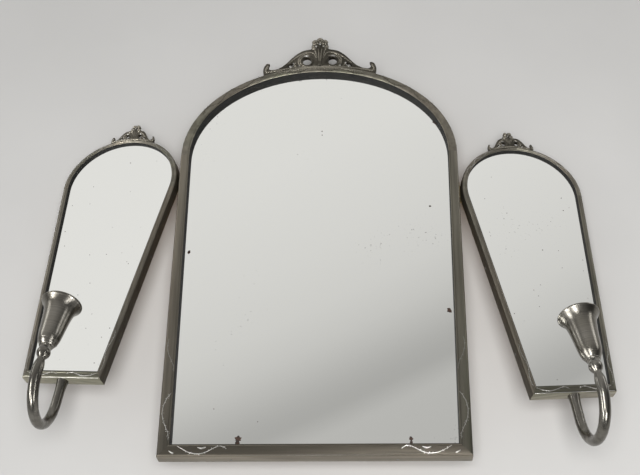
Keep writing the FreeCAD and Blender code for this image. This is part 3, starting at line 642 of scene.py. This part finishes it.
class Crest:
    """Sizes of one pierced crest; unit scales the relief, which is drawn for the big crest.

    ring and lobe are the radii of the flower and of its petals. volute is the radius of each large piercing,
    at is how far out it lies and lift how high above the arch. seat is the arch: half width, rise, spring.
    """

    def __init__(self, name, matrix, body, front, half, height, seat, petals, ring, lobe, volute, at, lift):
        self.name, self.matrix, self.body, self.front = name, matrix, body, front
        self.half, self.petals = half, petals
        self.seat_half, self.seat_rise, self.spring = seat
        self.ring, self.lobe, self.volute, self.at = ring, lobe, volute, at
        self.unit = height / BIG_CREST_HEIGHT
        self.top = self.spring + self.seat_rise
        self.flower = self.top + height - ring - lobe
        self.eye = self.on_arch(at, lift)[1]

    def on_arch(self, x, lift=0.0):
        return x, self.spring + self.seat_rise * math.sqrt(1 - (x / self.seat_half) ** 2) + lift


def flower_relief(crest):
    """Ribbed petals round a bead, over a fluted stem that opens like a fan."""
    parts, unit, front = [], crest.unit, crest.front
    for n in range(crest.petals):
        turn = math.radians(-24 + 228 * n / (crest.petals - 1))
        out = 1.12 * crest.ring
        parts.append(bead(out * math.cos(turn), crest.flower + out * math.sin(turn), 0.9 * crest.lobe,
                          front + 0.4 * unit, 0.4))
        for spread in (-0.22, 0, 0.22):
            tip = turn + spread
            reach = crest.ring + crest.lobe * (0.72 if spread == 0 else 0.5)
            line = [(share * reach * math.cos(tip), crest.flower + share * reach * math.sin(tip))
                    for share in (0.35, 0.7, 1.0)]
            parts.append(stroke(line, 0.24 * crest.lobe, front - 0.4 * unit, 0.7, 0.4))
    for number in range(7):
        lean = (number - 3) / 3
        foot = (1.2 * unit * lean, crest.top + 2.5 * unit)
        waist = (2.6 * unit * lean, crest.top + 15 * unit)
        tip = (8.6 * unit * lean, crest.flower - (1.0 - 0.25 * abs(lean)) * 0.62 * crest.ring)
        parts.append(stroke([foot, waist, tip], 1.0 * unit, front - 0.1 * unit, 0.7, 0.5))
    return parts


def scroll_relief(crest, hand):
    """The scroll round one piercing, its leaves, and the moulding that runs out to the hook."""
    parts, unit, front, half = [], crest.unit, crest.front, crest.half
    for wide, start, finish, squeeze, thick, rise, ends in (
            (SCROLL_WIDTH, 150, -150, SCROLL_SQUEEZE, 1.3, 0.8, 0.5), (1.95, 120, -40, 0.9, 1.1, 0.7, 0.3)):
        curl = arc(hand * crest.at, crest.eye, crest.volute * wide, start, finish, hand, squeeze)
        parts.append(stroke(curl, thick * unit, front, rise, ends))
    shoulder = [(hand * share * half, crest.top + lift * unit)
                for share, lift in ((0.06, 16), (0.12, 24), (0.22, 25))]
    shoulder += [(hand * share * half, crest.on_arch(share * half)[1] + lift * unit)
                 for share, lift in ((0.33, 23), (0.44, 18), (0.56, 10.5))]
    parts.append(stroke(shoulder, 1.3 * unit, front, 0.7, 0.35))
    for start, lift, span in ((0.33, 3, 0.10), (0.40, 3, 0.12), (0.47, 2.5, 0.12), (0.55, 2, 0.11)):
        x0, z0 = crest.on_arch(start * half, lift * unit)
        x2, z2 = crest.on_arch((start + span * 0.2) * half, (15 - 14 * (start - 0.33) / 0.22) * unit)
        middle = ((x0 + x2) / 2 + span * 0.35 * half, (z0 + z2) / 2)
        leaf = [(hand * x0, z0), (hand * middle[0], middle[1]), (hand * x2, z2)]
        parts.append(stroke(leaf, 1.2 * unit, front, 0.7, 0.3))
    moulding = [crest.on_arch(share * half, lift * unit) for share, lift in (
        (0.03, 2.0), (0.25, 1.8), (0.5, 1.9), (0.7, 2.6), (0.83, 3.2), (0.93, 4.2), (0.955, 9.0),
        (0.92, 14.5))]
    parts.append(stroke([(hand * x, z) for x, z in moulding], 1.6 * unit, front, 0.7, 0.6))
    return parts


def painted_glints(crest, hand):
    """Painted highlights: bright beads and a bright arc on the scroll, where its raised edges catch the
    light.
    """
    unit, front, half = crest.unit, crest.front - 0.7 * crest.unit, crest.half
    curl = arc(hand * crest.at, crest.eye, crest.volute * SCROLL_WIDTH, 62, 108, hand, SCROLL_SQUEEZE)
    parts = [stroke(curl, 1.25 * unit, front, 0.8, 0.6)]
    for share, lift, size in ((0.46, 9.0, 1.3), (0.52, 4.6, 1.7), (0.36, 4.0, 1.0)):
        x, z = crest.on_arch(share * half, lift * unit)
        parts.append(bead(hand * x, z, size * unit, front))
    parts.append(bead(hand * 5.2 * unit, crest.flower - 0.42 * crest.ring, 1.2 * unit, front - 0.4 * unit))
    return parts


def foot_band(crest):
    """The moulding at the crest's foot, which laps over the face of the arch."""
    shares = (-0.8, -0.4, -0.2, 0, 0.2, 0.4, 0.8)
    line = [crest.on_arch(share * crest.half, -2.6 * crest.unit) for share in shares]
    return stroke(line, 2.7 * crest.unit, crest.front - 2.3, 0.45, 0.25, 8)


def dress_crest(crest):
    relief = flower_relief(crest) + scroll_relief(crest, -1) + scroll_relief(crest, 1) + [foot_band(crest)]
    place(crest.name + "_relief", join(relief), crest.matrix, crest.body, RELIEF_METAL, "frame_metal")
    # The bead on the flower and the glints are painted highlights in pale metal.
    painted_highlights = [bead(0, crest.flower + 0.5 * crest.unit, 1.5 * crest.unit, crest.front - 1.2 * crest.unit)]
    painted_highlights += painted_glints(crest, -1) + painted_glints(crest, 1)
    place(crest.name + "_painted_glints", join(painted_highlights), crest.matrix, crest.body, WORN_AND_HIGHLIGHT_METAL, "frame_metal")


# ---- arms and cups --------------------------------------------------------------------------------

# Radii of the arm with their places: below the foot rail, and along the raised leg, about its knop.
ARM_FOOT = [(7.2, 0), (7.2, -0.8), (6.8, -3), (6.4, -6), (6.1, -9), (5.9, -13), (5.9, -20)]
ARM_KNOP = [(6.0, -15), (5.3, -12), (4.7, -10), (4.3, -8), (4.4, -7.2), (5.7, -5.9), (7.0, -3.9),
            (7.75, -2.0), (8.0, 0), (7.75, 2.0), (7.0, 3.9), (5.7, 5.7), (4.6, 6.6), (4.2, 7.4)]
ARM_RADIUS, ARM_SWELL, BEND_STEPS = 5.9, 0.5, 32


def build_arm(side):
    points = [Vector((0, 0, z)) for _, z in ARM_FOOT]
    radii = [radius for radius, _ in ARM_FOOT]
    bend = math.pi + ARM_LEAN
    for k in range(BEND_STEPS + 1):
        turn = bend * k / BEND_STEPS
        low = -ARM_DROP - ARM_BEND * math.sin(turn)
        points.append(Vector((0, -ARM_BEND + ARM_BEND * math.cos(turn), low)))
        radii.append(ARM_RADIUS + ARM_SWELL * math.sin(turn / 2) ** 2)
    for radius, z in ARM_KNOP:
        points.append(raised_end() @ Vector((0, 0, z)))
        radii.append(radius)
    shape = sweep(points, radii, (1, 0, 0), 32)
    arm = place(side + "_arm", shape, arm_place(side), side + "_wing", ARM_METAL, "arm_metal")
    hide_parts(side + "_wing_candle_arm")
    arm.visible_glossy = False


# The cup's section, as radii and heights, from its foot up the outside and down the inside.
CUP_OUTSIDE = [(4.8, 0), (6.4, 0.6), (8.6, 2.6), (10.8, 6.2), (12.5, 11), (13.5, 17), (14.8, 30),
               (16.0, 41), (17.4, 49.5), (19.2, 54.8), (21.6, 58.6), (23.5, 60.8)]
CUP_LIP = [(24.0, 61.7), (24.0, 62.4), (23.5, 63.0)]
CUP_INSIDE = [(22.6, 62.2), (20.4, 59.6), (17.6, 54.6), (15.6, 47.5), (13.9, 38), (11.8, 31.4)]
CUP_SOCKET = [(11.5, 31.0), (11.5, 7.1), (11.3, 7.0), (3.65, 7.0), (3.6, 4.6), (1.65, 4.6), (1.65, 0.1),
              (4.7, 0)]
CUP_COLLAR = [(6.9, 0.1), (7.7, 0.3), (8.1, 1.0), (7.9, 1.8), (7.2, 2.1), (6.8, 1.6)]


def build_cup(side):
    matrix = cup_place(side)
    axis = matrix.to_3x3() @ Vector((0, 0, 1))
    metal = turned(side + "_turned_pewter", axis, 0.155, 0.21, 0.3)
    outside = [(v.x, v.z) for v in smooth_line([(r, 0, z) for r, z in CUP_OUTSIDE], 5)]
    inside = [(v.x, v.z) for v in smooth_line([(r, 0, z) for r, z in CUP_INSIDE], 4)]
    shape = lathe(outside + CUP_LIP + inside + CUP_SOCKET)
    cup = place(side + "_cup", shape, matrix, side + "_cup", metal, "cup_metal")
    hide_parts(side + "_wing_candle_cup")
    collar = lathe(CUP_COLLAR, 56)
    ring = place(side + "_cup_collar", collar, matrix, side + "_cup", ARM_METAL, "cup_metal")
    for piece in (cup, ring):
        piece.visible_glossy = False


# ---- stains on the silver -------------------------------------------------------------------------

def blot(x, z, width, height, y, seed):
    rng = random.Random(seed)
    count = 18
    rim = []
    for k in range(count):
        turn = 2 * math.pi * k / count
        size = 1 + rng.uniform(-0.28, 0.22)
        rim.append((x + width / 2 * size * math.cos(turn), y, z + height / 2 * size * math.sin(turn)))
    return [(x, y, z)] + rim, [(0, 1 + (k + 1) % count, 1 + k) for k in range(count)]


# Stains on the centre's glass: x, z, width and height.
CENTRE_BLOTS = [(-87.9, 23.8, 7.8, 6.6), (-88.2, 18.0, 5.6, 9.0), (110.7, 23.0, 5.2, 5.0),
                (110.9, 18.2, 3.8, 6.4), (-161.2, 268.5, 3.6, 6.0), (142.5, 330.6, 3.2, 2.6),
                (160.5, 184.7, 5.0, 6.0), (162.5, 183.0, 3.0, 3.4), (151.5, 459.2, 3.4, 3.2),
                (154.0, 457.0, 3.8, 2.4), (4.0, 447.4, 1.5, 1.9), (4.3, 441.4, 1.2, 1.5),
                (-118.0, 60.0, 1.2, 1.2), (-66.0, 44.0, 1.0, 1.0)]
WING_SPECKS, SPECK_SIZES = 26, (0.6, 1.5)


def stain_glass():
    y = GLASS_FRONT - 0.06
    blots = [blot(*spot, y - 0.004 * n, 40 + n) for n, spot in enumerate(CENTRE_BLOTS)]
    place("centre_glass_stains", join(blots), centre_place, CENTRE, STAIN, "mirror_glass", smooth=False)
    for side, seed in (("left", 60), ("right", 80)):
        rng = random.Random(seed)
        specks = []
        for n in range(WING_SPECKS):
            z = rng.uniform(18, 330)
            half = min(WING_FOOT_HALF + SLOPE * z - 12, 60)
            width = rng.uniform(*SPECK_SIZES)
            x = rng.uniform(-half, half)
            height = rng.uniform(*SPECK_SIZES)
            specks.append(blot(x, z, width, height, y + 0.01 - 0.002 * n, seed + n))
        place(side + "_glass_stains", join(specks), wing_place(side), side + "_wing", STAIN,
              "mirror_glass", smooth=False)


# ---- put it together ------------------------------------------------------------------------------

def finish_for(name):
    """Material and record slot of a CAD node, from the words in its name."""
    words = name.split("_")
    if name.endswith("glass"):
        return GLASS[words[0].replace("center", "centre")], "mirror_glass"
    if name.endswith("backboard"):
        return BOARD, "board"
    if {"screws", "screw", "nails", "nut"} & set(words):
        return STEEL, "fastener_steel"
    if {"leaf", "pin", "strap", "hanger"} & set(words):
        return BRASS, "hinge_brass"
    if "crest" in words:
        return CREST_METAL, "frame_metal"
    if {"stile", "outer", "inner"} & set(words):
        return STILE_METAL, "frame_metal"
    if {"bottom", "foot"} & set(words):
        return RAIL_METAL, "frame_metal"
    return ARCH_METAL, "frame_metal"


for node_name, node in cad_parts.items():
    paint(node, *finish_for(node_name))

build_frames()
dress_centre()
dress_crest(Crest("center_crest", centre_place, CENTRE, front=-17.5, half=77.0, height=BIG_CREST_HEIGHT,
                  seat=(HALF_WIDTH, ARCH_RISE, STILE_HEIGHT), petals=5, ring=7.6, lobe=4.6, volute=6.2,
                  at=17.5, lift=11.0))
for wing in SIDES:
    dress_wing(wing)
    dress_crest(Crest(wing + "_crest", wing_place(wing), wing + "_wing", front=-13.5, half=31.0, height=26.0,
                      seat=(WING_ARCH_HALF, WING_ARCH_RISE, WING_SPRING), petals=4, ring=4.4, lobe=2.9,
                      volute=2.9, at=9.0, lift=6.0))
    build_arm(wing)
    build_cup(wing)
stain_glass()

# ---- backdrop, light and camera -------------------------------------------------------------------

def open_from_behind(material):
    """Lets light and the views from behind through the backdrop, which is solid from the front."""
    nodes, links = material.node_tree.nodes, material.node_tree.links
    mix, clear = nodes.new("ShaderNodeMixShader"), nodes.new("ShaderNodeBsdfTransparent")
    ray = nodes.new("ShaderNodeLightPath")
    through = maths(nodes, links, "MAXIMUM", ray.outputs["Is Diffuse Ray"], ray.outputs["Is Shadow Ray"])
    behind = nodes.new("ShaderNodeNewGeometry").outputs["Backfacing"]
    links.new(maths(nodes, links, "MAXIMUM", through, behind), mix.inputs["Fac"])
    links.new(nodes["Principled BSDF"].outputs["BSDF"], mix.inputs[1])
    links.new(clear.outputs["BSDF"], mix.inputs[2])
    links.new(mix.outputs["Shader"], nodes["Material Output"].inputs["Surface"])


BACKDROP_AT, BACKDROP_SIZE = (0, 0.045, 0.2), 8


def backdrop():
    bpy.ops.mesh.primitive_plane_add(size=BACKDROP_SIZE, location=BACKDROP_AT, rotation=(math.pi / 2, 0, 0))
    wall = bpy.context.object
    wall.name = "backdrop"
    material = matt("pale_backdrop", grey(0.56, 0.02), grey(0.60, 0.02), 3, 0.9)
    open_from_behind(material)
    paint(wall, material)


def lamp(name, at, aim, width, height, power):
    """An area lamp; places and sizes are in metres and power is in watts."""
    data = bpy.data.lights.new(name, "AREA")
    data.shape = "RECTANGLE"
    data.size, data.size_y, data.energy = width, height, power
    light = bpy.data.objects.new(name, data)
    light.location = at
    light.rotation_euler = (Vector(aim) - Vector(at)).to_track_quat("-Z", "Y").to_euler()
    light.visible_camera = False
    bpy.context.scene.collection.objects.link(light)
    return light


# The room's tone by height, with the height between -ROOM_REACH and ROOM_REACH and tilted by ROOM_TILT.
ROOM_REACH, ROOM_TILT, ROOM_SHIFT = 1.2, -0.43, -0.02
ROOM_TONES = [(-1.2, 0.05), (-0.75, 0.12), (-0.4, 0.24), (0.1, 0.3), (0.27, 0.48), (0.33, 0.50),
              (0.345, 0.41), (0.36, 0.43),
              (0.40, 0.58), (0.43, 0.645), (0.475, 0.69), (0.55, 0.74), (0.75, 0.775), (1.2, 0.74)]


def surround():
    """A pale room, darker low down and at the sides, for mirrors and metal; other rays meet plain greys."""
    world = bpy.data.worlds.new("room")
    bpy.context.scene.world = world
    world.use_nodes = True
    nodes, links = world.node_tree.nodes, world.node_tree.links
    where = nodes.new("ShaderNodeTexCoord")
    parts = nodes.new("ShaderNodeSeparateXYZ")
    links.new(where.outputs["Generated"], parts.inputs["Vector"])
    tilt = maths(nodes, links, "MULTIPLY", parts.outputs["X"], ROOM_TILT)
    level = maths(nodes, links, "ADD", parts.outputs["Z"], tilt)
    reach = nodes.new("ShaderNodeMapRange")
    reach.inputs["From Min"].default_value = -ROOM_REACH
    reach.inputs["From Max"].default_value = ROOM_REACH
    links.new(maths(nodes, links, "ADD", level, ROOM_SHIFT), reach.inputs["Value"])
    tones = [((at + ROOM_REACH) / (2 * ROOM_REACH), grey(value, 0.012)) for at, value in ROOM_TONES]
    room = ramp(nodes, links, reach.outputs["Result"], tones)
    beside = maths(nodes, links, "ABSOLUTE", parts.outputs["X"], 0.0)
    sides = ramp(nodes, links, beside, [(0.56, grey(1.0)), (0.82, grey(0.24))])
    seen = nodes.new("ShaderNodeLightPath")
    shown = maths(nodes, links, "ADD", seen.outputs["Is Glossy Ray"], seen.outputs["Is Transmission Ray"])
    soft, plain = (nodes.new("ShaderNodeMix") for _ in range(2))
    for mix in (soft, plain):
        mix.data_type = "RGBA"
    soft.inputs["A"].default_value = (*grey(0.36), 1)
    links.new(shown, soft.inputs["Factor"])
    links.new(multiply(nodes, links, room, sides), soft.inputs["B"])
    links.new(seen.outputs["Is Camera Ray"], plain.inputs["Factor"])
    links.new(soft.outputs["Result"], plain.inputs["A"])
    plain.inputs["B"].default_value = (*grey(0.62, 0.02), 1)
    links.new(plain.outputs["Result"], nodes["Background"].inputs["Color"])


def light_the_room():
    front = lamp("front_light", (0.1, -2.2, -0.75), (0, 0, 0.2), 1.1, 1.1, 53)
    back = lamp("back_light", (-0.6, 2.2, 0.7), (0, 0, 0.25), 1.2, 1.2, 22)
    front.visible_glossy = back.visible_glossy = False
    # The strips act on glossy rays only, for the bright lines on the arms and cups.
    strips = [lamp("left_arm_strip", (-1.0, -0.75, -0.3), (-0.3, -0.12, 0.03), 0.2, 0.8, 11.0),
              lamp("right_arm_strip", (0.175, -0.55, -0.12), (0.31, -0.12, 0.03), 0.08, 0.4, 2.0)]
    for hand in (-1, 1):
        high, high_aim = (hand * 1.4, -0.5, 0.85), (hand * 0.3, -0.05, 0.1)
        low, low_aim = (hand * 0.55, -0.65, -0.85), (hand * 0.3, -0.1, 0.1)
        strips.append(lamp("high_strip", high, high_aim, 0.3, 0.7, 2.8))
        strips.append(lamp("low_strip", low, low_aim, 0.24, 0.3, 6.0))
    for strip in strips:
        strip.visible_diffuse = False


# The camera that was fitted to the photograph: focal length and width in pixels, place and turns.
SENSOR, FOCAL_PIXELS, PHOTO_WIDTH = 36.0, 1162.41, 640
EYE = (73.116, -1288.2, -420.706)
PAN, RAISE, ROLL = 0.0546, 0.504, -0.014


def camera():
    data = bpy.data.cameras.new("camera")
    data.sensor_width = SENSOR
    data.lens = SENSOR * FOCAL_PIXELS / PHOTO_WIDTH
    data.clip_start, data.clip_end = 0.05, 20
    turn = Matrix.Rotation(PAN, 3, "Z") @ Matrix.Rotation(RAISE, 3, "X") @ Matrix.Rotation(ROLL, 3, "Y")
    eye = bpy.data.objects.new("camera", data)
    eye.location = Vector(EYE) * MM
    eye.rotation_euler = (turn @ Matrix.Rotation(math.pi / 2, 3, "X")).to_euler()
    bpy.context.scene.collection.objects.link(eye)
    bpy.context.scene.camera = eye


backdrop()
surround()
light_the_room()
camera()
bpy.context.scene.view_settings.view_transform = "Standard"
